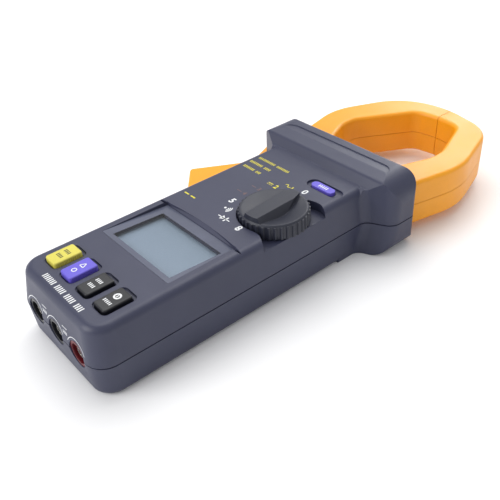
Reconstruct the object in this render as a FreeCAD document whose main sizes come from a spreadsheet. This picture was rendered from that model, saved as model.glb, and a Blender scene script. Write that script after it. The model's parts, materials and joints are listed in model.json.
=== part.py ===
"""Clamp meter, built as a parametric FreeCAD document and written out one STEP file per sub-part.

Frame: +Z out of the display face, +Y towards the jaw, +X to the right as the display is read.
The origin is the centre of the flat back, half way between the socket end and the tip of the jaw.
"""
import FreeCAD, Part
import Sketcher
import math
import os
import re

from FreeCAD import Placement, Rotation, Vector

doc = FreeCAD.newDocument("clamp_meter")
pieces = []

# ---------------------------------------------------------------- driving dimensions, in millimetres
DIMENSIONS = {
    "half_grip": 36.7, "half_flange": 50.7, "seam_z": 18.2, "face_z": 37.6, "ridge_z": 44.0,
    "wall": 2.4, "seam_gap": 0.55, "side_draft": 8.0, "back_draft": 4.0,
    "end_y": -140.0, "tip_y": 140.0, "grip_top_y": 26.0, "guard_rear_y": 22.0, "guard_step_y": 29.2,
    "guard_front_y": 47.3, "guard_slant": 4.0, "corner_round": 10.0, "face_round": 4.0, "back_round": 3.5,
    "lens_half": 27.9, "lens_near_y": -95.9, "lens_length": 38.4, "lens_thick": 1.6, "lens_tilt": 3.0,
    "view_half": 25.0, "view_near": 2.8, "view_length": 29.2,
    "glass_half": 24.6, "glass_length": 34.0, "glass_thick": 2.0,
    "knob_x": 18.4, "knob_y": -25.2, "knob_round": 17.4, "knob_floor_z": 32.7, "knob_rim_z": 41.0,
    "knob_top_z": 43.9, "pointer_turn": 6.0, "stem_round": 5.0, "run_gap": 0.05, "rib_count": 36.0,
              "rib_round": 0.8,
    "key_pitch": 14.5, "key_y": -119.6, "key_wide": 9.2, "key_long": 14.6, "key_gap": 0.3,
    "key_base_z": 31.0, "key_stop_z": 35.15, "bright_key_z": 39.6, "dark_key_z": 39.1,
    "hold_x": 19.5, "hold_y": 8.2, "hold_long": 15.0, "hold_wide": 4.8, "hold_z": 38.2,
    "socket_pitch": 19.0, "socket_round": 6.4, "socket_bore": 5.0, "contact_round": 2.9,
    "contact_bore": 2.0, "contact_long": 20.0,
    "board_z": 27.4, "board_thick": 1.6, "board_half": 27.5,
    "pivot_x": -31.5, "pivot_y": 34.0, "pin_round": 3.0, "coil_round": 6.6, "wire_round": 0.5,
              "bush_round": 4.2, "hub_round": 11.0,
    "jaw_low_z": 5.2, "jaw_high_z": 32.2, "jaw_wall": 2.0, "jaw_edge": 2.2, "jaw_split_x": 4.0,
    "jaw_gap": 0.15, "lever_low_z": 9.2, "lever_high_z": 26.4,
    "boss_round": 3.4, "screw_round": 1.45, "screw_hole": 1.6, "head_round": 2.8,
    "door_half": 17.0, "door_low_y": -119.0, "door_high_y": -54.0, "battery_low_y": -110.0,
    "battery_long": 48.0, "battery_wide": 26.0, "battery_thick": 17.0,
}
sheet = doc.addObject("Spreadsheet::Sheet", "Dims")
for row, (alias, value) in enumerate(DIMENSIONS.items(), start=1):
    sheet.set(f"A{row}", alias)
    sheet.set(f"B{row}", str(value))
    sheet.setAlias(f"B{row}", alias)
doc.recompute()


def size(alias):
    """The sheet's value for one driving dimension."""
    return float(sheet.get(alias))


def bind(text):
    """An expression in which each driving dimension is read from the sheet."""
    return re.sub(r"[a-z_]+", lambda word: "<<Dims>>." * (word[0] in DIMENSIONS) + word[0], text)


def keep(obj, label):
    """Marks a finished sub-part, whose Label names its file."""
    obj.Label = label
    pieces.append(obj)
    return obj


# ---------------------------------------------------------------- features
def block(name, x, y, z, turn=None):
    """A Part::Box between pairs of expressions, optionally turned about its own corner."""
    box = doc.addObject("Part::Box", name)
    for prop, (low, high) in zip(("Length", "Width", "Height"), (x, y, z)):
        box.setExpression(prop, bind(f"({high}) - ({low})"))
    if turn:
        box.Placement = Placement(Vector(), turn)
    for axis, (low, _high) in zip("xyz", (x, y, z)):
        box.setExpression(f".Placement.Base.{axis}", bind(f"0 mm + ({low}) * 1 mm"))
    return box


def rod(name, radius, at, low, high, turn=None):
    """A Part::Cylinder from low to high along its own axis, which is +Z unless it is turned."""
    cylinder = doc.addObject("Part::Cylinder", name)
    cylinder.setExpression("Radius", bind(radius))
    cylinder.setExpression("Height", bind(f"({high}) - ({low})"))
    if turn:
        cylinder.Placement = Placement(Vector(), turn)
    base = (at[0], at[1], low) if turn is None else at
    for axis, text in zip("xyz", base):
        cylinder.setExpression(f".Placement.Base.{axis}", bind(f"0 mm + ({text}) * 1 mm"))
    return cylinder


def tube(name, outer, inner, at, low, high, turn=None):
    return cut(name, rod(name + "_rod", outer, at, low, high, turn),
               rod(name + "_bore", inner, at, low, high, turn))


def cut(name, base, *tools):
    """base with every tool taken away."""
    result = base
    tool = tools[0] if len(tools) == 1 else fuse(name + "_tools", *tools)
    result = doc.addObject("Part::Cut", name)
    result.Base = base
    result.Tool = tool
    return result


def fuse(name, *members):
    result = doc.addObject("Part::MultiFuse", name)
    result.Shapes = list(members)
    return result


def common(name, *members):
    result = doc.addObject("Part::MultiCommon", name)
    result.Shapes = list(members)
    return result


def feature(name, shape):
    result = doc.addObject("Part::Feature", name)
    result.Shape = shape
    return result


def body_sketch(body, name, low):
    """A sketch on the body's own XY plane, raised to the height low."""
    sketch = body.newObject("Sketcher::SketchObject", name)
    plane = next(o for o in body.Origin.OriginFeatures if o.Role == "XY_Plane")
    sketch.AttachmentSupport = (plane, [""])
    sketch.MapMode = "FlatFace"
    sketch.setExpression(".AttachmentOffset.Base.z", bind(f"0 mm + ({low}) * 1 mm"))
    return sketch


def bound_constraint(sketch, kind, where, expression):
    """A dimension of the sketch that takes its value from the sheet."""
    index = sketch.addConstraint(Sketcher.Constraint(kind, *where, 1.0))
    sketch.setExpression(f"Constraints[{index}]", bind(f"0 mm + ({expression}) * 1 mm"))


def slab(name, x, y, z, corner=None, edge=None):
    """A PartDesign body: a constrained rectangle, padded, with rounded corners and a rounded top edge."""
    body = doc.addObject("PartDesign::Body", name)
    sketch = body_sketch(body, name + "_outline", z[0])
    bound = [[FreeCAD.Units.Quantity(sheet.evalExpression(bind(f"0 + ({text})"))).Value
              for text in pair] for pair in (x, y)]
    (x0, x1), (y0, y1) = bound
    corners = [Vector(x0, y0, 0), Vector(x1, y0, 0), Vector(x1, y1, 0), Vector(x0, y1, 0)]
    for k in range(4):
        sketch.addGeometry(Part.LineSegment(corners[k], corners[(k + 1) % 4]))
    for k in range(4):
        sketch.addConstraint(Sketcher.Constraint("Coincident", k, 2, (k + 1) % 4, 1))
    for k in (0, 2):
        sketch.addConstraint(Sketcher.Constraint("Horizontal", k))
        sketch.addConstraint(Sketcher.Constraint("Vertical", k + 1))
    bound_constraint(sketch, "DistanceX", (-1, 1, 0, 1), x[0])
    bound_constraint(sketch, "DistanceY", (-1, 1, 0, 1), y[0])
    bound_constraint(sketch, "DistanceX", (-1, 1, 2, 1), x[1])
    bound_constraint(sketch, "DistanceY", (-1, 1, 2, 1), y[1])
    pad = body.newObject("PartDesign::Pad", name + "_pad")
    pad.Profile = sketch
    pad.setExpression("Length", bind(f"0 mm + (({z[1]}) - ({z[0]})) * 1 mm"))
    doc.recompute()
    if corner:
        round_edges(body, name + "_corners", corner, upright)
    if edge:
        round_edges(body, name + "_edge", edge, at_top)
    return body


def upright(edge, shape):
    """Whether an edge stands along Z."""
    ends = [v.Point for v in edge.Vertexes]
    return len(ends) == 2 and (ends[0] - ends[1]).cross(Vector(0, 0, 1)).Length < 1e-6


def at_top(edge, shape):
    """Whether an edge lies in the shape's highest plane."""
    return edge.BoundBox.ZMin > shape.BoundBox.ZMax - 1e-6


def round_edges(body, name, radius, wanted):
    """A PartDesign fillet on the edges of the body's tip that pass the test."""
    tip = body.Tip
    found = [f"Edge{k}" for k, e in enumerate(tip.Shape.Edges, start=1) if wanted(e, tip.Shape)]
    fillet = body.newObject("PartDesign::Fillet", name)
    fillet.Base = (tip, found)
    fillet.setExpression("Radius", bind(f"0 mm + ({radius}) * 1 mm"))
    doc.recompute()
    return fillet


def rounded_outline(corners):
    """A closed wire through corners (x, y, radius), each corner rounded with its own radius."""
    count = len(corners)
    starts, edges = [], []
    for k, (x, y, radius) in enumerate(corners):
        here = Vector(x, y, 0)
        back = (Vector(*corners[k - 1][:2], 0) - here).normalize()
        ahead = (Vector(*corners[(k + 1) % count][:2], 0) - here).normalize()
        if radius == 0:
            starts.append((here, here, None))
            continue
        half = math.acos(max(-1.0, min(1.0, back.dot(ahead)))) / 2
        reach = radius / math.tan(half)
        middle = here + (back + ahead).normalize() * (radius / math.sin(half) - radius)
        starts.append((here + back * reach, here + ahead * reach, middle))
    for k, (enter, leave, middle) in enumerate(starts):
        if middle is not None:
            edges.append(Part.Arc(enter, middle, leave).toShape())
        following = starts[(k + 1) % count][0]
        if (following - leave).Length > 1e-6:
            edges.append(Part.LineSegment(leave, following).toShape())
    return Part.Wire(edges)


def prism(outline, low, high):
    """The solid over a closed outline between two heights."""
    face = Part.Face(outline)
    face.translate(Vector(0, 0, low))
    return face.extrude(Vector(0, 0, high - low))


def mirrored(right_side):
    """A symmetric list of corners from those on the right, listed from the bottom to the top."""
    return right_side + [(-x, y, r) for x, y, r in reversed(right_side) if x]


# ---------------------------------------------------------------- the case
TURN_X = Rotation(Vector(0, 0, 1), Vector(1, 0, 0))
TURN_BACK = Rotation(Vector(1, 0, 0), 90)
LENS_TURN = Rotation(Vector(1, 0, 0), -size("lens_tilt"))


def grip_form(name, inset):
    """The grip's outside, drafted up and down from the seam, or the same drawn in by inset."""
    half, low_y, high_y = size("half_grip") - inset, size("end_y") + inset, size("grip_top_y") + 14
    corner = size("corner_round") - inset
    seam = size("seam_z")
    outline = rounded_outline([(-half, low_y, corner), (half, low_y, corner), (half, high_y, 0),
                               (-half, high_y, 0)])
    forms = []
    for top, draft, edge in ((size("face_z") - inset, size("side_draft"), size("face_round")),
                             (inset, size("back_draft"), size("back_round"))):
        rise = abs(top - seam)
        draw = rise * math.tan(math.radians(draft))
        inner = rounded_outline([(-half + draw, low_y + draw, corner), (half - draw, low_y + draw, corner),
                                 (half - draw, high_y, 0), (-half + draw, high_y, 0)])
        outline_here, inner_here = outline.copy(), inner.copy()
        outline_here.translate(Vector(0, 0, seam))
        inner_here.translate(Vector(0, 0, top))
        solid = Part.makeLoft([outline_here, inner_here], True, True)
        edges = [e for e in solid.Edges
                 if abs(e.CenterOfMass.z - top) < 1e-4 and e.BoundBox.YMin < high_y - 1]
        forms.append(solid.makeFillet(max(edge - inset, 0.8), edges))
    return feature(name, forms[0].fuse(forms[1]).removeSplitter())


def guard_form(name, inset):
    """The finger guard: the part common to its outlines seen from above, from the end and from the side."""
    half, front = size("half_flange") - inset, size("guard_front_y") - inset
    rear, step = size("guard_rear_y") + inset / 2, size("guard_step_y") + inset
    grip, top, low = size("half_grip") - inset, size("ridge_z") - inset, inset
    seam, slant = size("seam_z"), size("guard_slant")

    def plan(z):
        """The guard seen from above at one height: its sides follow the grip's draft."""
        draft, back = (size("side_draft"), 0) if z >= seam else (size("back_draft"), slant * (1 - z / seam))
        side = grip - abs(z - seam) * math.tan(math.radians(draft))
        outline = rounded_outline(mirrored([(side, rear - 14 - back, 0), (side, rear - back, 6),
                                            (half, step - back, 8), (half, front, 4)]))
        outline.translate(Vector(0, 0, z))
        return outline
    end = rounded_outline([(-half, low, 9), (half, low, 9), (half, top, 13 - inset),
                           (-half, top, 13 - inset)])
    face, shift = size("face_z") - 0.3 - inset, inset / 2
    side = rounded_outline([(rear - 18, low, 0), (front, low, 2), (front, top, 2.2),
                            (rear + 12 + shift, top, 8),
                            (rear + 4.6 + shift, top - 1.2, 3), (rear + 1.2 + shift, face, 1.2),
                            (rear - 0.6, face, 0), (rear - 3.6, face - 4.5, 0), (rear - 18, face - 4.5, 0)])
    from_above = Part.makeLoft([plan(seam), plan(60)], True, True)
    from_above = from_above.fuse(Part.makeLoft([plan(-1), plan(seam)], True, True))
    from_end = prism(end, -80, 80)
    from_end.rotate(Vector(), Vector(1, 0, 0), 90)
    from_side = prism(side, -80, 80)
    from_side.rotate(Vector(), Vector(1, 0, 0), 90)
    from_side.rotate(Vector(), Vector(0, 0, 1), 90)
    return feature(name, from_above.common(from_end).common(from_side))


def tilted(name, half, near, far, low, high):
    """A box on the lens's sloping plane: near and far run along the slope, low and high across it."""
    box = block(name, (f"-({half})", half), ("0", f"({far}) - ({near})"), ("0", f"({high}) - ({low})"))
    slope = size("lens_tilt")
    start = FreeCAD.Units.Quantity(sheet.evalExpression(bind(f"0 + ({near})"))).Value
    lift = FreeCAD.Units.Quantity(sheet.evalExpression(bind(f"0 + ({low})"))).Value
    offset = LENS_TURN.multVec(Vector(0, start, lift))
    box.Placement = Placement(Vector(), LENS_TURN)
    box.setExpression(".Placement.Base.x", bind(f"0 mm - ({half}) * 1 mm"))
    box.setExpression(".Placement.Base.y", bind(f"lens_near_y * 1 mm + {offset.y:.5f} mm"))
    box.setExpression(".Placement.Base.z", bind(f"face_z * 1 mm + {offset.z:.5f} mm"))
    return box


SCREWS_GRIP = [("-31", "-104"), ("31", "-104"), ("-31", "-47"), ("31", "-62")]
SCREWS_GUARD = [("-9", "34"), ("9", "34")]
SCREW_PLACES = SCREWS_GRIP + SCREWS_GUARD
BOARD_PLACES = [("-24", "-104"), ("24", "-104"), ("2", "15"), ("0", "-49")]
FIXED_BOSS = ("32", "39")
DOOR_SCREW = ("0", "door_low_y + 3.5")
KEY_PLACES = [("yellow", -1.5), ("violet", -0.5), ("black_left", 0.5), ("black_right", 1.5)]


def key_x(step):
    return f"key_pitch * {step}"


def sweep_room():
    """The room in the left wall and the guard for the lever and the root of the moving arm."""
    lever = block("lever_room", ("-70", "-10"), ("-36.5", "30"), ("lever_low_z - 0.5", "lever_high_z + 0.5"))
    low, high = "jaw_low_z - 0.5", "jaw_high_z + 0.5"
    arm = block("arm_room", ("-70", "-17"), ("29", "60"), (low, high))
    hub = rod("hub_room", "hub_round + 0.6", ("pivot_x", "pivot_y"), low, high)
    fixed = block("fixed_arm_room", ("20.2", "44.6"), ("40", "60"), ("jaw_low_z - 0.1", "jaw_high_z + 0.1"))
    return [lever, arm, hub, fixed]


outer_form = fuse("outer_form", grip_form("grip_outside", 0.0), guard_form("guard_outside", 0.0))
lip_form = fuse("lip_form", grip_form("grip_lip", 1.3), guard_form("guard_lip", 1.3))
inner_form = fuse("inner_form", grip_form("grip_inside", size("wall")),
                  guard_form("guard_inside", size("wall")))


def zone(name, low, high):
    """Everything between two heights."""
    return block(name, ("-80", "80"), ("end_y - 10", "tip_y"), (low, high))


def stadium(name, x, y, long, wide, low, high):
    """A slot with round ends, lying along X."""
    half = f"(({long}) - ({wide})) / 2"
    middle = block(name + "_middle", (f"({x}) - {half}", f"({x}) + {half}"),
                   (f"({y}) - ({wide}) / 2", f"({y}) + ({wide}) / 2"), (low, high))
    ends = [rod(f"{name}_end{k}", f"({wide}) / 2", (f"({x}) {sign} {half}", y), low, high)
            for k, sign in enumerate("-+")]
    return fuse(name, middle, *ends)


def case_top():
    """The upper shell: display face, button and knob openings, lens seat and the guard's ridge."""
    shell = common("top_outside", outer_form, zone("top_zone", "seam_z + seam_gap / 2", "60"))
    lip_seat = common("lip_seat", lip_form, zone("lip_seat_zone", "seam_z", "seam_z + 1.8"))
    hollow = cut("top_shell", shell, inner_form, lip_seat)
    tray = tilted("lens_tray", "lens_half + 2", "-2", "lens_length + 1.9", "-3.2", "0")
    knob_tray = fuse("knob_tray", rod("knob_tray_round", "knob_round + 4", ("knob_x", "knob_y"), "31.5",
                                      "36"),
                     rod("knob_tray_side", "knob_round + 6.6", ("knob_x + 16", "knob_y"), "31.5", "36"))
    bosses = [rod(f"top_boss{k}", "boss_round", at, "seam_z + seam_gap / 2", "face_z - 1.5")
              for k, at in enumerate(SCREWS_GRIP)]
    bosses += [rod(f"top_guard_boss{k}", "boss_round", at, "seam_z + seam_gap / 2", "ridge_z - 1")
               for k, at in enumerate(SCREWS_GUARD)]
    bosses.append(rod("pin_boss_top", "pin_round + 2.6", ("pivot_x", "pivot_y"), "jaw_high_z + 0.4",
                      "ridge_z - 1"))
    bosses.append(rod("fixed_boss_top", "4.5", FIXED_BOSS, "jaw_high_z + 0.05", "ridge_z - 1"))
    posts = [rod(f"board_post{k}", "2.2", at, "board_z + board_thick", "face_z - 1.5")
             for k, at in enumerate(BOARD_PLACES)]
    inside = common("top_inside", outer_form, fuse("top_solids", tray, knob_tray, *bosses, *posts))
    whole = fuse("top_whole", hollow, inside)
    flare = [(0, -18.4, 0), (9.6, -18.0, 8), (16.5, -21.4, 5), (30, -22.5, 0), (30, 17.5, 0), (16.5, 19.6, 7),
             (9.5, 21.8, 9), (0, 18.9, 0)]
    spread = prism(rounded_outline([(size("knob_x") + x, size("knob_y") + y, r) for x, y, r in flare]),
                   size("knob_floor_z"), 60)
    knob_pocket = fuse("knob_pocket", rod("knob_pocket_round", "knob_round + 1.5", ("knob_x", "knob_y"),
                                          "knob_floor_z", "60"), feature("knob_pocket_side", spread))
    tools = [knob_pocket, rod("stem_hole", "stem_round + run_gap", ("knob_x", "knob_y"), "20", "60"),
             tilted("lens_recess", "lens_half + 0.1", "-0.1", "lens_length + 0.1", "-lens_thick - 0.02",
                    "12"),
             tilted("view_hole", "view_half", "view_near", "view_near + view_length", "-12", "12"),
             tilted("glass_room", "glass_half + 0.4", "view_near - 1.6", "view_near + glass_length + 0.4",
                    "-9", "-lens_thick - 0.9")]
    far_y, bow = size("lens_near_y") + size("lens_length") - 0.2, 1.9
    curve = (size("lens_half") ** 2 + bow ** 2) / (2 * bow)
    disc = Part.makeCylinder(curve, 30, Vector(0, far_y + bow - curve, 25))
    slope = Part.makeBox(70, 12, 12, Vector(-35, 0, 0))
    slope.rotate(Vector(), Vector(1, 0, 0), 44)
    slope.translate(Vector(0, far_y, size("face_z") - 1.95))
    tools.append(feature("far_wall", disc.common(slope)))
    for name, step in KEY_PLACES:
        tools.append(slab(f"{name}_key_dish",
                          (f"{key_x(step)} - key_wide / 2 - 1.2", f"{key_x(step)} + key_wide / 2 + 1.2"),
                          ("key_y - key_long / 2 - 1", "key_y + key_long / 2 + 2"),
                          ("face_z - 1", "60"), corner="2.8"))
        tools.append(slab(f"{name}_key_hole",
                          (f"{key_x(step)} - key_wide / 2 - key_gap",
                           f"{key_x(step)} + key_wide / 2 + key_gap"),
                          ("key_y - key_long / 2 - key_gap", "key_y + key_long / 2 + key_gap"),
                          ("30", "60"), corner="1.6"))
    tools.append(stadium("hold_dish", "hold_x + 0.6", "hold_y + 0.4", "hold_long + 8", "hold_wide + 3.4",
                         "face_z - 1.1", "60"))
    tools.append(stadium("hold_hole", "hold_x", "hold_y", "hold_long + 2 * key_gap",
                         "hold_wide + 2 * key_gap",
                         "30", "60"))
    tools += [rod(f"top_pilot{k}", "screw_round + 0.02", at, "0", "29") for k, at in enumerate(SCREW_PLACES)]
    tools.append(rod("fixed_pilot_top", "screw_round + 0.02", FIXED_BOSS, "20", "40"))
    tools.append(rod("pin_hole_top", "pin_round", ("pivot_x", "pivot_y"), "0", "41"))
    tools += sweep_room() + socket_holes()
    oval = common("oval_ridge", stadium("oval", "0", "34", "78", "13", "40", "50"),
                  block("oval_floor", ("-60", "60"), ("24", "60"), ("44.9", "60"),
                        Rotation(Vector(1, 0, 0), -5)))
    tools.append(oval)
    return keep(cut("case_top_body", whole, *tools), "case_top")


def socket_holes():
    """Holes in the end wall for the three input sockets."""
    return [rod(f"socket_hole{k}_{len(doc.Objects)}", "socket_round + 0.1",
                (f"socket_pitch * {k}", "end_y + 6", "seam_z"),
                "0", "12", TURN_BACK) for k in (-1, 0, 1)]


def case_bottom():
    """The lower shell: back, battery bay, screw bosses and the lip that closes the seam."""
    shell = common("bottom_outside", outer_form, zone("bottom_zone", "-1", "seam_z - seam_gap / 2"))
    lip = common("lip_solid", lip_form, zone("lip_zone", "seam_z - 3", "seam_z + 1.6"))
    bosses = [rod(f"bottom_boss{k}", "boss_round", at, "1", "seam_z - seam_gap / 2") for k,
              at in enumerate(SCREW_PLACES)]
    bosses += [rod(f"bottom_collar{k}", "head_round + 1.7", at, "1", "5.8") for k,
               at in enumerate(SCREW_PLACES)]
    bosses.append(rod("door_boss", "3.2", DOOR_SCREW, "1", "10"))
    bosses.append(rod("pin_boss_low", "pin_round + 2.6", ("pivot_x", "pivot_y"), "1", "jaw_low_z - 0.3"))
    bosses.append(rod("fixed_boss_low", "4.5", FIXED_BOSS, "1", "jaw_low_z - 0.05"))
    walls = block("bay_walls", ("-battery_wide / 2 - 1.9", "battery_wide / 2 + 1.9"),
                  ("battery_low_y - 1.9", "battery_low_y + battery_long + 9"), ("1", "16"))
    hollow = cut("bottom_shell", fuse("bottom_and_lip", shell, lip), inner_form)
    whole = fuse("bottom_whole", hollow, common("bottom_inside", outer_form,
                                                fuse("bottom_solids", walls, *bosses)))
    tools = [block("bay_room", ("-battery_wide / 2 - 0.4", "battery_wide / 2 + 0.4"),
                   ("battery_low_y - 0.4", "battery_low_y + battery_long + 7.5"), ("-1", "30")),
             slab("door_seat", ("-door_half - 0.25", "door_half + 0.25"),
                  ("door_low_y - 0.25", "door_high_y + 0.25"),
                  ("-1", "wall - 0.8"), corner="3.2")]
    for k, at in enumerate(SCREW_PLACES):
        tools.append(rod(f"screw_way{k}", "screw_hole", at, "-1", "30"))
        tools.append(rod(f"head_way{k}", "head_round + 0.3", at, "-1", "4.2"))
    tools.append(rod("door_pilot", "screw_round + 0.02", DOOR_SCREW, "0", "9.2"))
    tools.append(rod("fixed_way", "screw_hole", FIXED_BOSS, "-1", "30"))
    tools.append(rod("fixed_head_way", "head_round + 0.3", FIXED_BOSS, "-1", "3"))
    tools.append(rod("pin_hole_low", "pin_round", ("pivot_x", "pivot_y"), "2.2", "30"))
    tools += sweep_room() + socket_holes()
    return keep(cut("case_bottom_body", whole, *tools), "case_bottom")


def screws():
    """Case screws, the fixed arm's screw, the battery door's screw and the board's screws."""
    def screw(name, at, low, high, head_tall=1.8):
        """A pan head below the height low, with a cross slot, and a shank up to the height high."""
        head = rod(name + "_head", "head_round", at, f"({low}) - {head_tall}", low)
        slot = block(name + "_slot", (f"({at[0]}) - 2", f"({at[0]}) + 2"),
                     (f"({at[1]}) - 0.35", f"({at[1]}) + 0.35"),
                     (f"({low}) - 2", f"({low}) - {head_tall / 2}"))
        cross = block(name + "_cross", (f"({at[0]}) - 0.35", f"({at[0]}) + 0.35"),
                      (f"({at[1]}) - 2", f"({at[1]}) + 2"),
                      (f"({low}) - 2", f"({low}) - {head_tall / 2}"))
        return cut(name, fuse(name + "_solid", head,
                              rod(name + "_shank", "screw_round", at, low, high)), slot, cross)

    keep(fuse("case_screw_set", *[screw(f"case_screw{k}", at, "4.2", "28.5") for k,
                                  at in enumerate(SCREW_PLACES)]),
         "case_screws")
    keep(screw("fixed_arm_screw_solid", FIXED_BOSS, "3", "39"), "fixed_arm_screw")
    keep(screw("door_screw_solid", DOOR_SCREW, "0.9", "9", 0.7), "battery_door_screw")


def battery():
    """The battery, its door and the terminal block that it snaps into."""
    low, high = "battery_low_y", "battery_low_y + battery_long"
    keep(slab("battery_can", ("-battery_wide / 2", "battery_wide / 2"), (low, high),
              ("wall + 0.2", "wall + 0.2 + battery_thick"),
              corner="1.5", edge="1"), "battery")
    middle = "wall + 0.2 + battery_thick / 2"
    posts = [rod("battery_plus", "2.9", ("-6.35", high, middle), "0", "2.6", Rotation(Vector(1, 0, 0), -90)),
             rod("battery_minus", "3.9", ("6.35", high, middle), "0", "2.6", Rotation(Vector(1, 0, 0), -90))]
    keep(fuse("battery_posts", *posts), "battery_studs")
    clip = block("clip_block", ("-12.5", "12.5"), (f"{high} + 0.3", f"{high} + 6.3"),
                 ("wall + 1", "wall + battery_thick"))
    holes = [rod("clip_plus", "3.0", ("-6.35", high, middle), "0", "8", Rotation(Vector(1, 0, 0), -90)),
             rod("clip_minus", "4.0", ("6.35", high, middle), "0", "8", Rotation(Vector(1, 0, 0), -90))]
    keep(cut("clip_solid", clip, *holes), "battery_terminal_block")
    blades = [block(f"blade{k}", (f"{x} - 1.5", f"{x} + 1.5"), (f"{high} + 6.4", f"{high} + 6.9"),
                    ("8", "board_z - 0.05"))
              for k, x in enumerate((-6.35, 6.35))]
    keep(fuse("blade_pair", *blades), "battery_contacts")
    door = slab("door_plate", ("-door_half", "door_half"), ("door_low_y", "door_high_y"),
                ("0", "wall - 0.85"), corner="3")
    grooves = [block(f"door_groove{k}", ("-9", "9"),
                     (f"door_high_y - {8 + 3 * k}", f"door_high_y - {6.8 + 3 * k}"), ("-1", "0.5"))
               for k in range(4)]
    screw_hole = rod("door_screw_way", "screw_hole", DOOR_SCREW, "-1", "5")
    head_hole = rod("door_head_way", "head_round + 0.2", DOOR_SCREW, "-1", "0.9")
    keep(cut("door_solid", door, *grooves, screw_hole, head_hole), "battery_door")


# ---------------------------------------------------------------- display, board and switch
def display():
    keep(tilted("lens", "lens_half", "0", "lens_length", "-lens_thick", "0"), "display_lens")
    keep(tilted("glass", "glass_half", "view_near - 0.9", "view_near - 0.9 + glass_length",
                "-lens_thick - 1 - glass_thick",
                "-lens_thick - 1"), "lcd_glass")
    wedge = common("holder_wedge", block("holder_block", ("-26.8", "26.8"), ("-96.4", "-59.2"),
                                         ("board_z + board_thick + 0.05", "36")),
                   tilted("holder_slope", "27", "-3", "lens_length + 2", "-14", "-3.35"))
    seat = tilted("holder_seat", "glass_half + 0.1", "view_near - 1", "view_near - 0.8 + glass_length",
                  "-lens_thick - 1.05 - glass_thick", "2")
    window = block("holder_window", ("-21", "21"), ("-90", "-66"), ("20", "40"))
    keep(cut("holder_solid", wedge, seat, window), "lcd_holder")


def board():
    """The circuit board with its parts: controller, buzzer, resistor rows and trimmer."""
    top = "board_z + board_thick"
    main = slab("board_main", ("-board_half", "board_half"), ("-122", "20"), ("board_z", top), corner="1.5")
    tab = slab("board_tab", ("10", "32"), ("-46", "-8"), ("board_z", top), corner="1.5")
    holes = [rod("board_knob_hole", "6.4", ("knob_x", "knob_y"), "20", "35")]
    holes += [rod(f"board_hole{k}", "1.2", at, "20", "35")
              for k, at in enumerate(BOARD_PLACES)]
    keep(cut("board_solid", fuse("board_whole", main, tab), *holes), "circuit_board")
    controller = block("controller", ("-17", "-3"), ("-44", "-30"), (f"{top}", f"{top} + 1.4"))
    memory = block("memory", ("-18", "-12"), ("-20", "-10"), (top, f"{top} + 1.2"))
    rows = [block(f"resistor{k}", (f"-22 + {3.2 * k}", f"-20.4 + {3.2 * k}"), ("-4", "-0.8"),
                  (top, f"{top} + 0.6"))
            for k in range(8)]
    keep(fuse("chip_group", controller, memory, *rows), "board_components")
    keep(tube("buzzer", "8", "1.2", ("-14", "8"), top, f"{top} + 2.2"), "buzzer")
    contacts = [tube(f"track{k}", f"{11.2 - 2.1 * k}", f"{10.2 - 2.1 * k}", ("knob_x", "knob_y"), top,
                     f"{top} + 0.05")
                for k in range(2)]
    keep(fuse("track_group", *contacts), "switch_tracks")
    heads = [rod(f"board_screw{k}", "2.1", at, "board_z - 0.9", "board_z") for k,
             at in enumerate(BOARD_PLACES)]
    shanks = [rod(f"board_shank{k}", "1.15", at, "board_z", top) for k, at in enumerate(BOARD_PLACES)]
    keep(fuse("board_screw_set", *heads, *shanks), "board_screws")
    mat = slab("mat", ("-26.6", "26.6"), ("key_y - 2.3", "key_y + 9"), (top, f"{top} + 0.8"), corner="1")
    domes = [rod(f"dome{k}", "2.6", (key_x(step), "key_y"), f"{top} + 0.8", f"{top} + 0.95")
             for k, (_name, step) in enumerate(KEY_PLACES)]
    keep(fuse("mat_solid", mat, *domes), "keypad_mat")
    keep(rod("hold_dome_solid", "2.2", ("hold_x", "hold_y"), top, f"{top} + 0.95"), "hold_dome")


def keys():
    """The four range keys and the hold key, each with a stop flange under the face."""
    for name, step in KEY_PLACES:
        x, bright = key_x(step), name in ("yellow", "violet")
        top = "bright_key_z" if bright else "dark_key_z"
        cap = slab(f"{name}_cap", (f"{x} - key_wide / 2", f"{x} + key_wide / 2"),
                   ("key_y - key_long / 2", "key_y + key_long / 2"), ("key_base_z", top), corner="1.3",
                   edge="0.7")
        stop = slab(f"{name}_stop", (f"{x} - key_wide / 2 - 0.8", f"{x} + key_wide / 2 + 0.8"),
                    ("key_y - key_long / 2 - 0.8", "key_y + key_long / 2 + 0.8"),
                    ("key_stop_z - 1.2", "key_stop_z"), corner="1.5")
        whole = fuse(f"{name}_key_whole", cap, stop)
        if bright:
            ribs = [rod(f"{name}_rib{side}{k}", "0.28",
                        (f"{x} {sign} key_wide / 2 {sign} 0.12", f"key_y - key_long / 2 + {2 + 1.06 * k}"),
                        f"{top} - 3.6", f"{top} - 0.75") for side, sign in enumerate("-+") for k in range(11)]
            whole = cut(f"{name}_key_ribbed", whole, *ribs)
        keep(whole, f"{name}_key")
    cap = stadium("hold_cap", "hold_x", "hold_y", "hold_long", "hold_wide", "key_base_z", "hold_z")
    stop = stadium("hold_stop", "hold_x", "hold_y", "hold_long + 2", "hold_wide + 2",
                   "key_stop_z - 1.2", "key_stop_z")
    keep(fuse("hold_key_whole", cap, stop), "hold_key")


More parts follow.
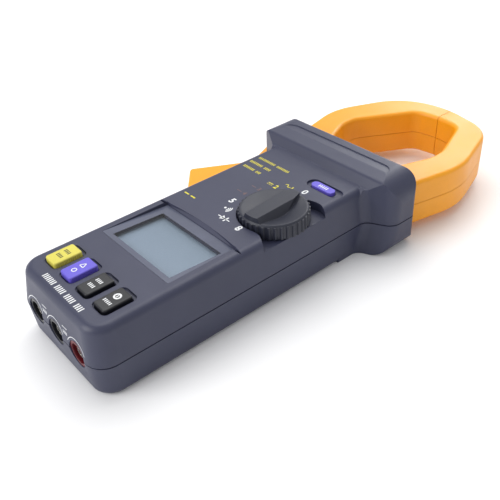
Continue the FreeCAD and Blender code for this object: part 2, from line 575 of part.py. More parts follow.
def knob():
    """The range knob: ribbed skirt, dished top and a tapering finger bar, on a stem through the face."""
    centre = ("knob_x", "knob_y")
    radius, rim, top = size("knob_round"), size("knob_rim_z"), size("knob_top_z")
    low = size("knob_floor_z") + 0.3
    profile = Part.makePolygon([Vector(0, 0, low), Vector(radius, 0, low), Vector(radius, 0, rim - 0.7),
                                Vector(radius - 0.7, 0, rim), Vector(radius - 1.3, 0, rim),
                                Vector(5, 0, rim - 2.6), Vector(0, 0, rim - 2.6), Vector(0, 0, low)])
    dished = Part.Face(profile).revolve(Vector(), Vector(0, 0, 1), 360)
    section = rounded_outline([(-7.6, rim - 4, 0), (7.6, rim - 4, 0), (3.9, top, 0.6), (-3.9, top, 0.6)])
    bar = prism(section, -radius, radius)
    bar.rotate(Vector(), Vector(1, 0, 0), 90)
    drop = Part.makeBox(40, 60, 10, Vector(-20, -radius - 1, top))
    drop.rotate(Vector(0, -radius, top), Vector(1, 0, 0), -2.4)
    plan = rounded_outline([(-5.5, -radius + 0.2, 2.5), (5.5, -radius + 0.2, 2.5), (8.5, -4, 12),
                            (2.6, radius - 0.3, 1),
                            (-2.6, radius - 0.3, 1), (-8.5, -4, 12)])
    bar = bar.cut(drop).common(prism(plan, 30, 50))
    bar = bar.common(Part.makeCylinder(radius - 0.7, 20, Vector(0, 0, 30)))
    bar.rotate(Vector(), Vector(0, 0, 1), size("pointer_turn"))
    whole = dished.fuse(bar).removeSplitter()
    whole.translate(Vector(size("knob_x"), size("knob_y"), 0))
    ribs = []
    for k in range(int(size("rib_count"))):
        angle = 2 * math.pi * k / size("rib_count")
        place = Vector(size("knob_x") + radius * math.cos(angle),
                       size("knob_y") + radius * math.sin(angle), low + 0.2)
        ribs.append(Part.makeCylinder(size("rib_round"), rim - 1.1 - low, place))
    skirt = feature("knob_skirt", whole.multiFuse(ribs).removeSplitter())
    stem = rod("knob_stem", "stem_round", centre, "board_z + board_thick + 0.7", "knob_floor_z + 0.4")
    keep(cut("knob_solid", fuse("knob_whole", skirt, stem),
             rod("stem_bore", "1.2", centre, "20", "38")), "range_knob")
    keep(cut("rotor_solid", rod("rotor_disc", "11.4", centre, "board_z + board_thick + 0.7", "31.4"),
             rod("rotor_bore", "stem_round", centre, "20", "40")), "switch_rotor")
    wipers = [block(f"wiper{k}", (f"knob_x {sign}", f"knob_x {sign} + 1.2"), (f"knob_y - 1", "knob_y + 1"),
                    ("board_z + board_thick + 0.15", "board_z + board_thick + 0.7"))
              for k, sign in enumerate(("+ 7.9", "- 9.1", "+ 10", "- 11.2"))]
    keep(fuse("wiper_set", *wipers), "switch_wipers")
    screw = fuse("knob_screw_solid", rod("knob_screw_head", "3.6", centre, "board_z - 0.4",
                                         "board_z + board_thick + 0.7"),
                 rod("knob_screw_shank", "1.2", centre, "board_z + board_thick + 0.7", "37.5"))
    keep(screw, "knob_screw")


def detent():
    """A leaf spring beside the rotor that gives the knob its clicks."""
    arc = rounded_outline([(0, 0, 0), (16, 0, 0), (16, 14, 0), (0, 14, 0)])
    ring = Part.makeCylinder(12.5, 1.6).cut(Part.makeCylinder(12.0, 1.6))
    strip = ring.common(prism(arc, 0, 1.6))
    foot = Part.makeBox(3.5, 3.0, 1.6, Vector(-1.5, 12.1, 0))
    whole = strip.fuse(foot)
    whole.rotate(Vector(), Vector(0, 0, 1), 120)
    whole.translate(Vector(size("knob_x"), size("knob_y"), size("board_z") + size("board_thick") + 0.05))
    keep(feature("detent_leaf", whole), "detent_spring")


def sockets():
    """Three shrouded input sockets: a coloured sleeve and a metal contact tube in each."""
    for name, step in (("left", -1), ("middle", 0), ("right", 1)):
        at = (f"socket_pitch * {step}", "end_y + contact_long + 0.8", "seam_z")
        sleeve = rod(f"{name}_sleeve_rod", "socket_round", at, "0", "contact_long", TURN_BACK)
        room = rod(f"{name}_sleeve_room", "socket_bore", (at[0], "end_y + contact_long - 2", "seam_z"),
                   "0", "contact_long", TURN_BACK)
        seat = rod(f"{name}_contact_seat", "contact_round", (at[0], "end_y + 30", "seam_z"), "0", "40",
                   TURN_BACK)
        keep(cut(f"{name}_sleeve", sleeve, room, seat), f"{name}_socket_sleeve")
        contact = rod(f"{name}_contact_rod", "contact_round",
                      (at[0], "end_y + contact_long + 4", "seam_z"), "0", "contact_long + 2", TURN_BACK)
        bore = rod(f"{name}_contact_bore", "contact_bore", (at[0], "end_y + contact_long", "seam_z"),
                   "0", "contact_long", TURN_BACK)
        keep(cut(f"{name}_contact_tube", contact, bore), f"{name}_contact")


# ---------------------------------------------------------------- the jaw
OUTSIDE = [(42.5, 34, 0), (42.5, 46, 6), (51.5, 86, 45), (36.0, 132.2, 26), (0, 141.0, 54),
           (-31.8, 134.6, 38), (-52.2, 90, 38), (-42.5, 46, 6), (-42.5, 34, 0)]
INSIDE = [(20.5, 20, 0), (20.5, 51, 20), (31.6, 82, 16), (31.6, 92, 24), (19.6, 123.4, 9), (4, 125.6, 40),
          (-11.0, 123.4, 9), (-32.2, 89, 16), (-32.2, 78, 14), (-20.5, 51, 20), (-20.5, 20, 0)]
LEVER = [(-26, 24, 3), (-33, -2, 20), (-40, -33, 2), (-46, -33, 2), (-64.4, -17.6, 2.5),
         (-45.5, 14, 16), (-53.6, 33, 4),
         (-50, 44, 6), (-38, 47, 6)]


def horseshoe(inset, low, high):
    """The two arms together, as one open ring, drawn in by inset on every side."""
    outer = Part.Face(rounded_outline(OUTSIDE))
    inner = Part.Face(rounded_outline(INSIDE))
    if inset:
        outer = outer.makeOffset2D(-inset)
        inner = inner.makeOffset2D(inset)
    outer.translate(Vector(0, 0, low))
    inner.translate(Vector(0, 0, low - 1))
    return outer.extrude(Vector(0, 0, high - low)).cut(inner.extrude(Vector(0, 0, high - low + 2)))


def soft_edges(solid, low, high, radius):
    """Rounds the long edges of the ring at its two faces."""
    edges = [e for e in solid.Edges if (abs(e.BoundBox.ZMin - high) < 1e-4 or abs(e.BoundBox.ZMax - low) < 1e-4)
             and e.BoundBox.YMax > size("guard_rear_y") + 7 and e.BoundBox.YMax - e.BoundBox.YMin > 0.5]
    return solid.makeFillet(radius, edges)


def side_of_split(side, clearance):
    """Everything on one side of the joint at the tip: side is 1 for the fixed arm, -1 for the moving arm."""
    edge = size("jaw_split_x") + side * clearance
    return Part.makeBox(90, 200, 60, Vector(edge if side > 0 else edge - 90, 0, -5))


def arms():
    """Both arms: two shell halves, a core, a winding each, and the lever on the moving arm."""
    low, high, seam, gap = size("jaw_low_z"), size("jaw_high_z"), size("seam_z"), 0.12
    wall, radius = size("jaw_wall"), size("jaw_edge")
    ring = soft_edges(horseshoe(0, low, high), low, high, radius)
    room = horseshoe(wall, low + wall, high - wall)
    core = horseshoe(wall + 1.6, low + wall + 3.2, high - wall - 3.2)
    pivot = Vector(size("pivot_x"), size("pivot_y"), 0)
    hub = Part.makeCylinder(size("hub_round"), high - low, pivot + Vector(0, 0, low))
    hub_room = Part.makeCylinder(size("hub_round") + 1.2, high - low, pivot + Vector(0, 0, low))
    lever = prism(rounded_outline(LEVER), size("lever_low_z"), size("lever_high_z"))
    lever = lever.makeFillet(1.6, [e for e in lever.Edges if abs(e.BoundBox.ZMax - e.BoundBox.ZMin) < 1e-6])
    bore = Part.makeCylinder(size("bush_round"), 60, pivot)
    above = Part.makeBox(300, 400, 60, Vector(-150, -200, seam + gap))
    below = Part.makeBox(300, 400, 60, Vector(-150, -200, seam - gap - 60))
    for name, side in (("fixed", 1), ("moving", -1)):
        whole = ring.common(side_of_split(side, size("jaw_gap")))
        hollow = room.common(side_of_split(side, 1.6)).common(Part.makeBox(300, 200, 60,
                                                                           Vector(-150, 49.5, 0)))
        if side < 0:
            whole = whole.fuse(hub).fuse(lever).cut(bore)
            hollow = hollow.cut(hub_room)
        else:
            way = Part.makeCylinder(size("screw_hole"), 60,
                                    Vector(float(FIXED_BOSS[0]), float(FIXED_BOSS[1]), 0))
            whole = whole.cut(way)
        whole = whole.cut(hollow).removeSplitter()
        keep(feature(f"{name}_arm_upper", whole.common(above)), f"{name}_arm_top")
        keep(feature(f"{name}_arm_lower", whole.common(below)), f"{name}_arm_bottom")
        pole = 4.2 if side > 0 else 2.0
        iron = core.common(side_of_split(side, pole)).common(Part.makeBox(300, 200, 60,
                                                                          Vector(-150, 53.5, 0)))
        keep(feature(f"{name}_iron", iron), f"{name}_core")
        winding = horseshoe(wall + 0.3, low + wall + 0.4,
                            high - wall - 0.4).cut(horseshoe(wall + 1.5, low + wall + 3.1, high - wall - 3.1))
        window = Part.makeBox(60, 26, 60, Vector(0 if side > 0 else -60, 62, 0))
        keep(feature(f"{name}_wire", winding.common(window)), f"{name}_winding")


def jaw_details():
    """Hall sensor, pivot pin, bushes and the spring that closes the jaw."""
    keep(block("hall_chip", ("jaw_split_x + 1.8", "jaw_split_x + 3.9"), ("129.6", "136.4"),
               ("14", "24")), "hall_sensor")
    at = ("pivot_x", "pivot_y")
    keep(rod("pin", "pin_round", at, "2.3", "40.8"), "pivot_pin")
    keep(fuse("bush_pair", tube("bush_low", "bush_round", "pin_round + run_gap", at, "jaw_low_z",
                                "jaw_low_z + 6"),
              tube("bush_high", "bush_round", "pin_round + run_gap", at, "jaw_high_z - 6",
                   "jaw_high_z")), "pivot_bushes")
    floor = "jaw_high_z + 0.05"
    coils = [tube(f"spring_coil{k}", "coil_round + wire_round", "coil_round - wire_round", at,
                  f"{floor} + wire_round * {2.2 * k:.1f}",
                  f"{floor} + wire_round * {2.2 * k + 1.8:.1f}") for k in range(3)]
    edge = ("pivot_y + coil_round - wire_round * 0.8", "pivot_y + coil_round + wire_round * 0.8")
    ramp = block("spring_ramp", ("pivot_x - 1.2", "pivot_x + 1.2"), edge,
                 (floor, f"{floor} + wire_round * 6.2"))
    legs = [block("spring_leg", ("pivot_x", "pivot_x + 9"), edge, (floor, f"{floor} + wire_round * 1.6")),
            block("spring_catch", ("pivot_x - 9", "pivot_x"), edge,
                  (f"{floor} + wire_round * 4.6", f"{floor} + wire_round * 6"))]
    keep(fuse("spring_solid", *coils, ramp, *legs), "return_spring")


case_top()
case_bottom()
screws()
battery()
display()
board()
keys()
knob()
detent()
sockets()
arms()
jaw_details()
doc.recompute()

# ---------------------------------------------------------------- checks and files
for obj in doc.Objects:
    if {"Invalid", "Error"} & set(obj.State):
        raise RuntimeError(f"{obj.Name} ({obj.Label}) failed: {obj.State}")
os.makedirs("parts", exist_ok=True)
for old in os.listdir("parts"):
    os.remove(os.path.join("parts", old))
for piece in pieces:
    shape = piece.Shape
    if shape.isNull() or not shape.isValid() or not shape.Solids:
        raise RuntimeError(f"{piece.Label}: its shape is null, open or not valid")
    shape.exportStep(os.path.join("parts", piece.Label + ".step"))
    box = shape.BoundBox
    print(f"{piece.Label:24s} solids {len(shape.Solids)}  volume {shape.Volume:10.1f}  "
          f"x {box.XMin:7.2f} {box.XMax:7.2f}  y {box.YMin:8.2f} {box.YMax:8.2f}  z {box.ZMin:6.2f} {box.ZMax:6.2f}")
print(len(pieces), "sub-parts")
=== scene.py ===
import json
import math

import bmesh
import bpy
from mathutils import Matrix, Vector


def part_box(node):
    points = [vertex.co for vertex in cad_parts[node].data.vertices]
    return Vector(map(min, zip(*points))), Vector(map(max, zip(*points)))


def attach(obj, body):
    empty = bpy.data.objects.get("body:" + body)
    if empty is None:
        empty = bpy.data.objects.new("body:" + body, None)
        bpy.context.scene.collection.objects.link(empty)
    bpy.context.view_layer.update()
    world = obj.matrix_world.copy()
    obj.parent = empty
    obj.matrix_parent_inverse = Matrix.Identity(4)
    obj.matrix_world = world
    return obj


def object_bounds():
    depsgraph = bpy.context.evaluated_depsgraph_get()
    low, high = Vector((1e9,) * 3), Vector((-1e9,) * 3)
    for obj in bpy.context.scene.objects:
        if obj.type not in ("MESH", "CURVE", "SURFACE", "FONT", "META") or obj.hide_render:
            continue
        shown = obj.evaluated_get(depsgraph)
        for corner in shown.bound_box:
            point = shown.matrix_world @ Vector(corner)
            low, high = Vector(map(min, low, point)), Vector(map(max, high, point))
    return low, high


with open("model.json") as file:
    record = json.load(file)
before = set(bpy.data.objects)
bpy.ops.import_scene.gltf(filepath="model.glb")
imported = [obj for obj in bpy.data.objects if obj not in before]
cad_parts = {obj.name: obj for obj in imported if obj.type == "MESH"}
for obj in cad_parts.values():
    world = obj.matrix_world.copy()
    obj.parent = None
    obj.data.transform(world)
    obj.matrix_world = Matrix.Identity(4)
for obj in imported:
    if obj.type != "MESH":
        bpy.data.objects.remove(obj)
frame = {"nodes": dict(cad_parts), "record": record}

CAD_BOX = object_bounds()
NODES = frame["nodes"]
MM = 0.001
FACE_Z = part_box("display_lens")[1][2]
SOCKET_LOW, SOCKET_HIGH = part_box("middle_socket_sleeve")
SOCKET_Z = (SOCKET_LOW[2] + SOCKET_HIGH[2]) / 2
SOCKET_PITCH = 19.0
PRINT_LIFT = 0.00004
END_WALL_SLOPE = -8.0
GRAIN_DEPTH = 0.00006
SAG_DEPTH = 0.0004
EDGE_RADIUS = 0.0005


# ---------------------------------------------------------------- materials
def linear(red, green, blue):
    """A display colour from 0 to 255 as linear RGBA."""
    parts = [((c / 255 + 0.055) / 1.055) ** 2.4 if c > 10 else c / 255 / 12.92
             for c in (red, green, blue)]
    return parts + [1.0]


def shade(colour, factor):
    return [min(1.0, c * factor) for c in colour[:3]] + [1.0]


class Graph:
    """A material's node tree, with one call for each kind of step."""

    def __init__(self, name):
        self.material = bpy.data.materials.new(name)
        self.material.use_nodes = True
        self.tree = self.material.node_tree
        self.shader = self.tree.nodes["Principled BSDF"]
        self.output = self.tree.nodes["Material Output"]
        self.coords = self.add("ShaderNodeTexCoord").outputs["Object"]

    def add(self, kind, **settings):
        node = self.tree.nodes.new(kind)
        for key, value in settings.items():
            setattr(node, key, value)
        return node

    def link(self, source, target):
        self.tree.links.new(source, target)

    def put(self, socket, value):
        if hasattr(value, "is_output"):
            self.link(value, socket)
        else:
            socket.default_value = value

    def noise(self, scale, detail=4.0, rough=0.55, stretch=(1, 1, 1)):
        mapping = self.add("ShaderNodeMapping")
        mapping.inputs["Scale"].default_value = stretch
        self.link(self.coords, mapping.inputs["Vector"])
        noise = self.add("ShaderNodeTexNoise")
        noise.inputs["Scale"].default_value = scale
        noise.inputs["Detail"].default_value = detail
        noise.inputs["Roughness"].default_value = rough
        self.link(mapping.outputs["Vector"], noise.inputs["Vector"])
        return noise.outputs["Fac"]

    def ramp(self, value, low, high, first, second):
        """value from low to high turned into a number from first to second."""
        step = self.add("ShaderNodeMapRange")
        for key, number in (("From Min", low), ("From Max", high), ("To Min", first), ("To Max", second)):
            step.inputs[key].default_value = number
        self.link(value, step.inputs["Value"])
        return step.outputs["Result"]

    def math(self, operation, a, b=0.0):
        step = self.add("ShaderNodeMath", operation=operation)
        self.put(step.inputs[0], a)
        self.put(step.inputs[1], b)
        return step.outputs[0]

    def mix(self, factor, a, b):
        step = self.add("ShaderNodeMix", data_type="RGBA")
        self.put(step.inputs[0], factor)
        self.put(step.inputs[6], a)
        self.put(step.inputs[7], b)
        return step.outputs[2]

    def axis(self, letter):
        split = self.add("ShaderNodeSeparateXYZ")
        self.link(self.coords, split.inputs[0])
        return split.outputs["XYZ".index(letter)]

    def bumps(self, layers, radius):
        """Bump layers (height, strength, distance) over edges softened by radius."""
        bevel = self.add("ShaderNodeBevel", samples=6)
        bevel.inputs["Radius"].default_value = radius
        normal = bevel.outputs["Normal"]
        for height, strength, distance in layers:
            bump = self.add("ShaderNodeBump")
            bump.inputs["Strength"].default_value = strength
            bump.inputs["Distance"].default_value = distance
            self.link(height, bump.inputs["Height"])
            self.link(normal, bump.inputs["Normal"])
            normal = bump.outputs["Normal"]
        self.link(normal, self.shader.inputs["Normal"])

    def edges(self, radius):
        """1 on sharp edges, falling to 0 a radius away."""
        bevel = self.add("ShaderNodeBevel", samples=6)
        bevel.inputs["Radius"].default_value = radius
        geometry = self.add("ShaderNodeNewGeometry")
        dot = self.add("ShaderNodeVectorMath", operation="DOT_PRODUCT")
        self.link(bevel.outputs["Normal"], dot.inputs[0])
        self.link(geometry.outputs["Normal"], dot.inputs[1])
        return self.ramp(dot.outputs["Value"], 0.98, 0.82, 0.0, 1.0)


def moulded(name, colour, roughness, grain=2600.0, strength=0.25, edge_highlight_strength=0.25):
    """Moulded plastic or rubber: fine spark-eroded grain, faint mottling, and a painted highlight that
    makes sharp edges paler.
    """
    g = Graph(name)
    mottle = g.ramp(g.noise(38.0, 5.0), 0.3, 0.7, 0.0, 1.0)
    base = g.mix(mottle, shade(colour, 0.94), shade(colour, 1.06))
    fine = g.noise(grain, 3.0, 0.6)
    base = g.mix(g.ramp(fine, 0.35, 0.65, 0.0, 0.35), base, shade(colour, 0.86))
    # Painted highlight: sharp edges are painted paler, broken up by noise along the edge.
    edge_highlight = g.math("MULTIPLY", g.edges(0.0007), g.ramp(g.noise(160.0), 0.35, 0.7, 0.35, 1.0))
    base = g.mix(g.math("MULTIPLY", edge_highlight, edge_highlight_strength), base, shade(colour, 1.7))
    g.link(base, g.shader.inputs["Base Color"])
    sheen = g.ramp(g.noise(70.0), 0.3, 0.7, roughness - 0.05, roughness + 0.06)
    g.link(sheen, g.shader.inputs["Roughness"])
    g.shader.inputs["Specular IOR Level"].default_value = 0.5
    g.bumps([(fine, strength, GRAIN_DEPTH), (g.noise(22.0, 2.0), 0.06, SAG_DEPTH)], EDGE_RADIUS)
    return g.material


def metal(name, colour, roughness, stretch=(1, 1, 40), scale=300.0):
    """Drawn or turned metal: fine lines one way, and a little tarnish."""
    g = Graph(name)
    lines = g.noise(scale, 4.0, 0.6, stretch)
    tarnish = g.ramp(g.noise(90.0, 5.0), 0.4, 0.75, 0.0, 0.5)
    g.link(g.mix(tarnish, colour, shade(colour, 0.7)), g.shader.inputs["Base Color"])
    g.link(g.ramp(lines, 0.3, 0.7, roughness - 0.08, roughness + 0.12), g.shader.inputs["Roughness"])
    g.shader.inputs["Metallic"].default_value = 1.0
    g.bumps([(lines, 0.15, 0.00005)], 0.0002)
    return g.material


def printed(name, colour):
    """Pad-printed ink: slightly uneven cover with a soft sheen."""
    g = Graph(name)
    cover = g.ramp(g.noise(1500.0, 3.0), 0.35, 0.7, 0.0, 1.0)
    g.link(g.mix(cover, shade(colour, 0.86), colour), g.shader.inputs["Base Color"])
    g.link(g.ramp(g.noise(400.0), 0.3, 0.7, 0.4, 0.6), g.shader.inputs["Roughness"])
    return g.material


def band(g, value, low, high, soft):
    """1 between low and high, with soft edges."""
    rise = g.ramp(value, low - soft, low + soft, 0.0, 1.0)
    fall = g.ramp(value, high - soft, high + soft, 1.0, 0.0)
    return g.math("MULTIPLY", rise, fall)


def window_material():
    """The clear window: a tinted printed border round a clear field, under a hard glossy face."""
    low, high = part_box("display_lens")
    g = Graph("window")
    left, right, near, far = -22.3 * MM, 24.9 * MM, low[1] + 3.0 * MM, low[1] + 31.9 * MM
    clear = g.math("MULTIPLY", band(g, g.axis("X"), left, right, 0.00012),
                   band(g, g.axis("Y"), near, far, 0.00012))
    tint = linear(88, 92, 110)
    border = g.mix(g.ramp(g.noise(120.0), 0.3, 0.7, 0.0, 1.0), shade(tint, 0.94), shade(tint, 1.06))
    g.link(border, g.shader.inputs["Base Color"])
    g.link(g.ramp(g.noise(55.0), 0.3, 0.7, 0.16, 0.26), g.shader.inputs["Roughness"])
    g.shader.inputs["Coat Weight"].default_value = 0.2
    see = g.add("ShaderNodeBsdfTransparent")
    see.inputs["Color"].default_value = (0.93, 0.95, 0.97, 1.0)
    shine = g.add("ShaderNodeBsdfGlossy")
    shine.inputs["Roughness"].default_value = 0.12
    fresnel = g.add("ShaderNodeFresnel")
    fresnel.inputs["IOR"].default_value = 1.46
    facing = g.math("SUBTRACT", 1.0, g.add("ShaderNodeNewGeometry").outputs["Backfacing"])
    pane = g.add("ShaderNodeMixShader")
    g.link(g.math("MULTIPLY", fresnel.outputs[0], facing), pane.inputs[0])
    g.link(see.outputs[0], pane.inputs[1])
    g.link(shine.outputs[0], pane.inputs[2])
    whole = g.add("ShaderNodeMixShader")
    g.link(clear, whole.inputs[0])
    g.link(g.shader.outputs[0], whole.inputs[1])
    g.link(pane.outputs[0], whole.inputs[2])
    g.link(whole.outputs[0], g.output.inputs["Surface"])
    return g.material


def display_material():
    """The display cell: a blank grey field, painted darker towards its far end as shade, inside a dark edge
    that is the cell's frame with painted shadow from the window's edge.
    """
    low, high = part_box("lcd_glass")
    g = Graph("display_cell")
    x, y = g.axis("X"), g.axis("Y")
    field = g.math("MULTIPLY", band(g, x, -24.5 * MM, 24.5 * MM, 0.0001),
                   band(g, y, low[1] + 1.2 * MM, low[1] + 33.9 * MM, 0.0001))
    lit_near_grey, shaded_far_grey = linear(149, 160, 173), linear(134, 146, 157)
    # Painted shade: the field is painted darker towards its far end, where the window's recess is deepest.
    tone = g.mix(g.ramp(y, low[1], high[1], 0.0, 1.0), lit_near_grey, shaded_far_grey)
    tone = g.mix(g.ramp(g.noise(900.0, 2.0), 0.3, 0.7, 0.0, 0.25), tone, shade(shaded_far_grey, 0.93))
    # The dark edge is partly the cell's frame and partly painted shadow cast by the window's edge.
    g.link(g.mix(field, linear(70, 74, 88), tone), g.shader.inputs["Base Color"])
    g.link(g.ramp(g.noise(200.0), 0.3, 0.7, 0.3, 0.42), g.shader.inputs["Roughness"])
    return g.material


def striped(name, first, second, letter, pitch, share, roughness, metallic=0.0):
    """Two colours in bands along one axis, such as laminations, turns of wire or a wrapped can."""
    g = Graph(name)
    turn = g.math("FRACT", g.math("DIVIDE", g.axis(letter), pitch))
    stripe = g.math("LESS_THAN", turn, share)
    base = g.mix(stripe, first, second)
    base = g.mix(g.ramp(g.noise(120.0), 0.35, 0.7, 0.0, 0.4), base, shade(first, 0.7))
    g.link(base, g.shader.inputs["Base Color"])
    g.shader.inputs["Metallic"].default_value = metallic
    sheen = g.ramp(g.noise(200.0), 0.3, 0.7, roughness - 0.05, roughness + 0.08)
    g.link(sheen, g.shader.inputs["Roughness"])
    wave = g.math("PINGPONG", g.math("DIVIDE", g.axis(letter), pitch), 0.5)
    g.bumps([(wave, 0.3, 0.0002)], 0.0002)
    return g.material


CASE = linear(53, 56, 79)
AMBER = linear(247, 163, 14)
FINISHES = {
    "case_plastic": moulded("case_moulding", CASE, 0.42),
    "orange_plastic": moulded("amber_moulding", AMBER, 0.38, grain=1900.0, strength=0.12, edge_highlight_strength=0.12),
    "knob_plastic": moulded("knob_moulding", linear(37, 40, 54), 0.42, edge_highlight_strength=0.2),
    "black_plastic": moulded("black_moulding", linear(24, 25, 30), 0.35),
    "red_plastic": moulded("red_moulding", linear(96, 12, 22), 0.35),
    "white_plastic": moulded("white_moulding", linear(214, 214, 208), 0.45),
    "yellow_rubber": moulded("yellow_rubber", linear(214, 204, 84), 0.5, grain=1500.0, edge_highlight_strength=0.1),
    "violet_rubber": moulded("violet_rubber", linear(104, 92, 208), 0.48, grain=1500.0, edge_highlight_strength=0.15),
    "black_rubber": moulded("black_rubber", linear(15, 16, 23), 0.36, grain=1500.0, edge_highlight_strength=0.1),
    "grey_rubber": moulded("grey_rubber", linear(128, 128, 126), 0.6),
    "clear_lens": window_material(),
    "display_glass": display_material(),
    "board_laminate": striped("board_laminate", linear(16, 92, 48), linear(24, 112, 60),
                              "X", 0.0025, 0.4, 0.3),
    "battery_label": striped("battery_wrap", linear(28, 28, 32), linear(176, 128, 62), "Y", 0.06, 0.3, 0.3),
    "zinc_steel": metal("zinc_steel", linear(178, 180, 184), 0.34),
    "spring_steel": metal("spring_steel", linear(150, 152, 158), 0.26),
    "tin_plate": metal("tin_plate", linear(205, 203, 196), 0.22),
    "gold_plate": metal("plated_brass", linear(212, 172, 92), 0.28),
    "core_steel": striped("core_laminations", linear(96, 98, 104), linear(62, 64, 70),
                          "Z", 0.0007, 0.3, 0.4, 0.9),
    "copper_wire": striped("winding", linear(186, 96, 54), linear(118, 54, 30),
                           "Y", 0.0006, 0.3, 0.35, 0.6),
}
INKS = {
    "white_ink": printed("white_ink", linear(236, 238, 240)),
    "yellow_ink": printed("yellow_ink", linear(222, 210, 52)),
    "rust_ink": printed("rust_ink", linear(112, 88, 88)),
    "dark_ink": printed("dark_ink", linear(38, 38, 46)),
}

slot_of = {part["node"]: part["material_slot"] for part in frame["record"]["subparts"]}
for node, obj in NODES.items():
    material = FINISHES[slot_of[node]]
    if not obj.material_slots:
        obj.data.materials.append(material)
    for slot in obj.material_slots:
        slot.material = material


# ---------------------------------------------------------------- printed legends
def bar(mesh, x, y, long, wide, turn=0.0, round_ends=True):
    """A flat bar in millimetres about (x, y), turned by degrees, with rounded ends."""
    steps = 6 if round_ends else 1
    half, radius = long / 2 - (wide / 2 if round_ends else 0), wide / 2
    points = []
    for sign, start in ((1, -90), (-1, 90)):
        for k in range(steps + 1):
            angle = math.radians(start + 180 * k / steps)
            if round_ends:
                points.append((sign * half + radius * math.cos(angle), radius * math.sin(angle)))
            else:
                points.append((sign * half, radius * math.sin(angle)))
    spin = Matrix.Rotation(math.radians(turn), 2)
    corners = [spin @ Vector(p) for p in points]
    mesh.faces.new([mesh.verts.new((x + p.x, y + p.y, 0)) for p in corners])


def arc(mesh, x, y, radius, wide, start, end, steps=24):
    """A flat arc in millimetres from one angle to another in degrees."""
    rings = []
    for k in range(steps + 1):
        angle = math.radians(start + (end - start) * k / steps)
        rings.append([mesh.verts.new((x + r * math.cos(angle), y + r * math.sin(angle), 0))
                      for r in (radius - wide / 2, radius + wide / 2)])
    for a, b in zip(rings, rings[1:]):
        mesh.faces.new((a[0], a[1], b[1], b[0]))


def triangle(mesh, points):
    mesh.faces.new([mesh.verts.new((x, y, 0)) for x, y in points])


def digit(mesh, text, x, y, tall, heavy=0.03):
    """A plain dial number about (x, y), tall millimetres high."""
    curve = bpy.data.curves.new("legend", "FONT")
    curve.body = text
    curve.align_x, curve.align_y = "CENTER", "CENTER"
    curve.size, curve.offset, curve.resolution_u = 1.0, heavy, 3
    holder = bpy.data.objects.new("legend", curve)
    bpy.context.scene.collection.objects.link(holder)
    bpy.context.view_layer.update()
    outline = bpy.data.meshes.new_from_object(holder.evaluated_get(bpy.context.evaluated_depsgraph_get()))
    scale = tall / 0.7
    outline.transform(Matrix.Translation((x, y, 0)) @ Matrix.Diagonal((scale, scale, scale, 1)))
    mesh.from_mesh(outline)
    bpy.data.objects.remove(holder)
    bpy.data.curves.remove(curve)
    bpy.data.meshes.remove(outline)


def legend(name, ink, body, place, draw):
    """A printed piece drawn in millimetres, then placed by a matrix in metres, riding on a body."""
    mesh = bmesh.new()
    draw(mesh)
    bmesh.ops.scale(mesh, vec=(MM, MM, MM), verts=mesh.verts)
    bmesh.ops.transform(mesh, matrix=place, verts=mesh.verts)
    bmesh.ops.recalc_face_normals(mesh, faces=mesh.faces)
    data = bpy.data.meshes.new(name)
    mesh.to_mesh(data)
    mesh.free()
    data.materials.append(INKS[ink])
    obj = bpy.data.objects.new(name, data)
    bpy.context.scene.collection.objects.link(obj)
    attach(obj, body)
    return obj


def on_face(height):
    return Matrix.Translation((0, 0, height + PRINT_LIFT))


def dial_legends(mesh):
    digit(mesh, "0", 15.6, -1.4, 3.9)
    arc(mesh, 13.6, -4.3, 0.45, 0.9, 0, 360)
    digit(mesh, "5", -4.6, -33.2, 3.9)
    digit(mesh, "8", 16.9, -46.9, 3.9)
    for radius in (1.2, 2.1, 3.0):
        arc(mesh, -1.2, -39.7, radius, 0.55, -50, 50, 10)
    arc(mesh, -2.0, -39.7, 0.35, 0.7, 0, 360)
    bar(mesh, 4.9, -46.3, 8.6, 0.6)
    triangle(mesh, [(3.2, -48.1), (3.2, -44.5), (6.0, -46.3)])
    bar(mesh, 6.5, -46.3, 0.8, 3.8, 0, False)


def tick_row(mesh, x, y, groups, wide, tall):
    """Groups of plain upright ticks from x to the right, in place of small print."""
    for count in groups:
        for _ in range(count):
            bar(mesh, x + wide / 2, y, wide * 0.5, tall, 0, False)
            x += wide
        x += wide * 1.2


def warning_bars(mesh):
    tick_row(mesh, -16.6, -132.4, (7, 5, 5, 4), 1.4, 3.0)


def amber_legends(mesh):
    digit(mesh, "1", 8.2, -3.9, 3.1)
    arc(mesh, 4.0, -3.1, 0.9, 0.5, 0, 180, 8)
    arc(mesh, 5.8, -3.1, 0.9, 0.5, 180, 360, 8)
    digit(mesh, "2", 1.2, -8.4, 3.1)
    bar(mesh, -3.4, -7.6, 3.8, 0.5)
    for k in range(3):
        bar(mesh, -4.8 + 1.4 * k, -8.8, 0.9, 0.5)
    tick_row(mesh, -29.2, 6.6, (11, 8), 1.2, 1.9)
    tick_row(mesh, -30.0, 0.8, (8, 4), 1.25, 2.0)
    tick_row(mesh, -29.0, -5.0, (7, 3), 1.25, 2.0)
    bar(mesh, -27.2, -45.4, 3.8, 0.9)
    bar(mesh, -21.9, -45.4, 3.8, 0.9)


def rust_legends(mesh):
    for name, x, y in (("4", -7.9, -24.2), ("3", -5.6, -16.2)):
        digit(mesh, name, x + 2.4, y, 2.6)
        bar(mesh, x - 1.8, y, 3.4, 0.45)


def socket_marks(mesh):
    """Plain arcs and ties between the sockets, on the end wall."""
    for x in (-SOCKET_PITCH, 0.0, SOCKET_PITCH):
        arc(mesh, x, 0.0, 8.0, 0.35, 25, 155)
    for x in (-SOCKET_PITCH / 2, SOCKET_PITCH / 2):
        bar(mesh, x, 8.6, 4.4, 0.4)
        tick_row(mesh, x - 1.8, 6.0, (4,), 1.0, 1.6)


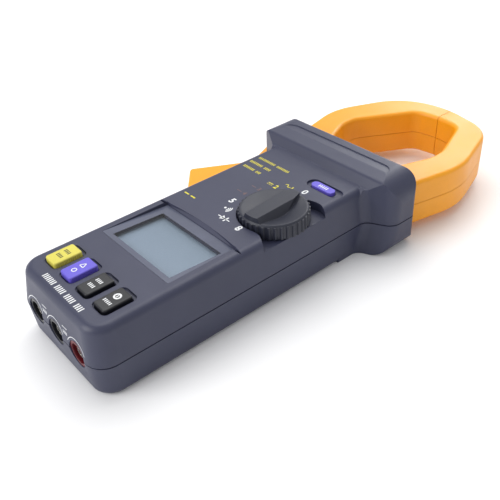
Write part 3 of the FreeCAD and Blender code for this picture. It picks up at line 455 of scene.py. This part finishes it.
legend("dial_legends", "white_ink", "case", on_face(FACE_Z), dial_legends)
legend("warning_bars", "white_ink", "case", on_face(FACE_Z), warning_bars)
legend("amber_legends", "yellow_ink", "case", on_face(FACE_Z), amber_legends)
END_PLACE = (Matrix.Translation((0, CAD_BOX[0][1] - PRINT_LIFT, SOCKET_Z))
             @ Matrix.Rotation(math.radians(90 + END_WALL_SLOPE), 4, "X"))
legend("socket_marks", "white_ink", "case", END_PLACE, socket_marks)
legend("rust_legends", "rust_ink", "case", on_face(FACE_Z), rust_legends)


def key_centre(node):
    low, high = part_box(node)
    return (low[0] + high[0]) / 2 / MM, (low[1] + high[1]) / 2 / MM, high[2]


def key_legend(node, ink, draw):
    x, y, top = key_centre(node)
    place = Matrix.Translation((x * MM, y * MM, top + PRINT_LIFT))
    legend(node + "_legend", ink, node + "_body", place, draw)


def two_rows(mesh, wide=1.15, counts=(4, 4), tall=1.9, apart=2.0):
    """Two rows of plain ticks in the middle of a key."""
    for count, y in zip(counts, (apart, -apart)):
        tick_row(mesh, -count * wide / 2, y, (count,), wide, tall)


def violet_mark(mesh):
    for turn, x, y in ((62, -0.75, 2.6), (-62, 0.75, 2.6), (0, 0, 1.2)):
        bar(mesh, x, y, 3.0, 0.5, turn)
    arc(mesh, 0, -2.4, 1.15, 0.5, 0, 360)


def power_mark(mesh):
    tick_row(mesh, -2.9, -2.6, (5,), 1.15, 1.7)
    arc(mesh, 0, 2.4, 1.5, 0.9, 0, 360)
    bar(mesh, 0, 2.4, 0.6, 1.6, 0, False)


key_legend("yellow_key", "dark_ink", two_rows)
key_legend("violet_key", "white_ink", violet_mark)
key_legend("black_left_key", "white_ink", two_rows)
key_legend("black_right_key", "white_ink", power_mark)
key_legend("hold_key", "white_ink", lambda m: tick_row(m, -3.2, 0, (5,), 1.3, 2.1))


# ---------------------------------------------------------------- floor, light and camera
def stage_floor():
    data = bpy.data.meshes.new("floor")
    reach = 3.0
    corners = [(-reach, -reach, 0), (reach, -reach, 0), (reach, reach, 0), (-reach, reach, 0)]
    data.from_pydata(corners, [], [(0, 1, 2, 3)])
    floor = bpy.data.objects.new("floor", data)
    bpy.context.scene.collection.objects.link(floor)
    floor.location.z = -0.0002
    g = Graph("floor_paper")
    paper = linear(250, 250, 251)
    clouds = g.ramp(g.noise(6.0), 0.3, 0.7, 0.0, 1.0)
    g.link(g.mix(clouds, paper, shade(paper, 0.99)), g.shader.inputs["Base Color"])
    g.shader.inputs["Roughness"].default_value = 0.9
    data.materials.append(g.material)


def area_light(name, place, aim, wide, power, colour=(1, 1, 1)):
    data = bpy.data.lights.new(name, "AREA")
    data.shape = "SQUARE"
    data.size = wide
    data.energy = power
    data.color = colour
    lamp = bpy.data.objects.new(name, data)
    lamp.location = place
    lamp.rotation_euler = (Vector(aim) - Vector(place)).to_track_quat("-Z", "Y").to_euler()
    bpy.context.scene.collection.objects.link(lamp)


def camera():
    """At the photograph's viewing angle."""
    forward = Vector((-0.63255, 0.49983, -0.59165)).normalized()
    right = Vector((0.64697, 0.76095, -0.04883)).normalized()
    up = right.cross(forward).normalized()
    right = forward.cross(up).normalized()
    data = bpy.data.cameras.new("camera")
    data.lens, data.sensor_width = 48.98, 36.0
    data.clip_start = 0.01
    eye = bpy.data.objects.new("camera", data)
    turn = Matrix((right, up, -forward)).transposed().to_4x4()
    eye.matrix_world = Matrix.Translation((0.23176, -0.21034, 0.22248)) @ turn
    bpy.context.scene.collection.objects.link(eye)
    bpy.context.scene.camera = eye


stage_floor()
area_light("overhead_softbox", (-0.35, 0.25, 0.95), (0, 0, 0), 0.9, 6.0)
area_light("end_softbox", (-0.25, -0.85, 0.45), (0, -0.05, 0.02), 0.6, 4.5)
area_light("far_softbox", (-0.3, 0.85, 0.4), (0, 0.05, 0.02), 0.5, 3.0)
camera()

world = bpy.data.worlds.new("studio")
bpy.context.scene.world = world
world.use_nodes = True
world.node_tree.nodes["Background"].inputs["Color"].default_value = (1.0, 1.0, 1.0, 1.0)
world.node_tree.nodes["Background"].inputs["Strength"].default_value = 0.62
bpy.context.scene.view_settings.view_transform = "Standard"
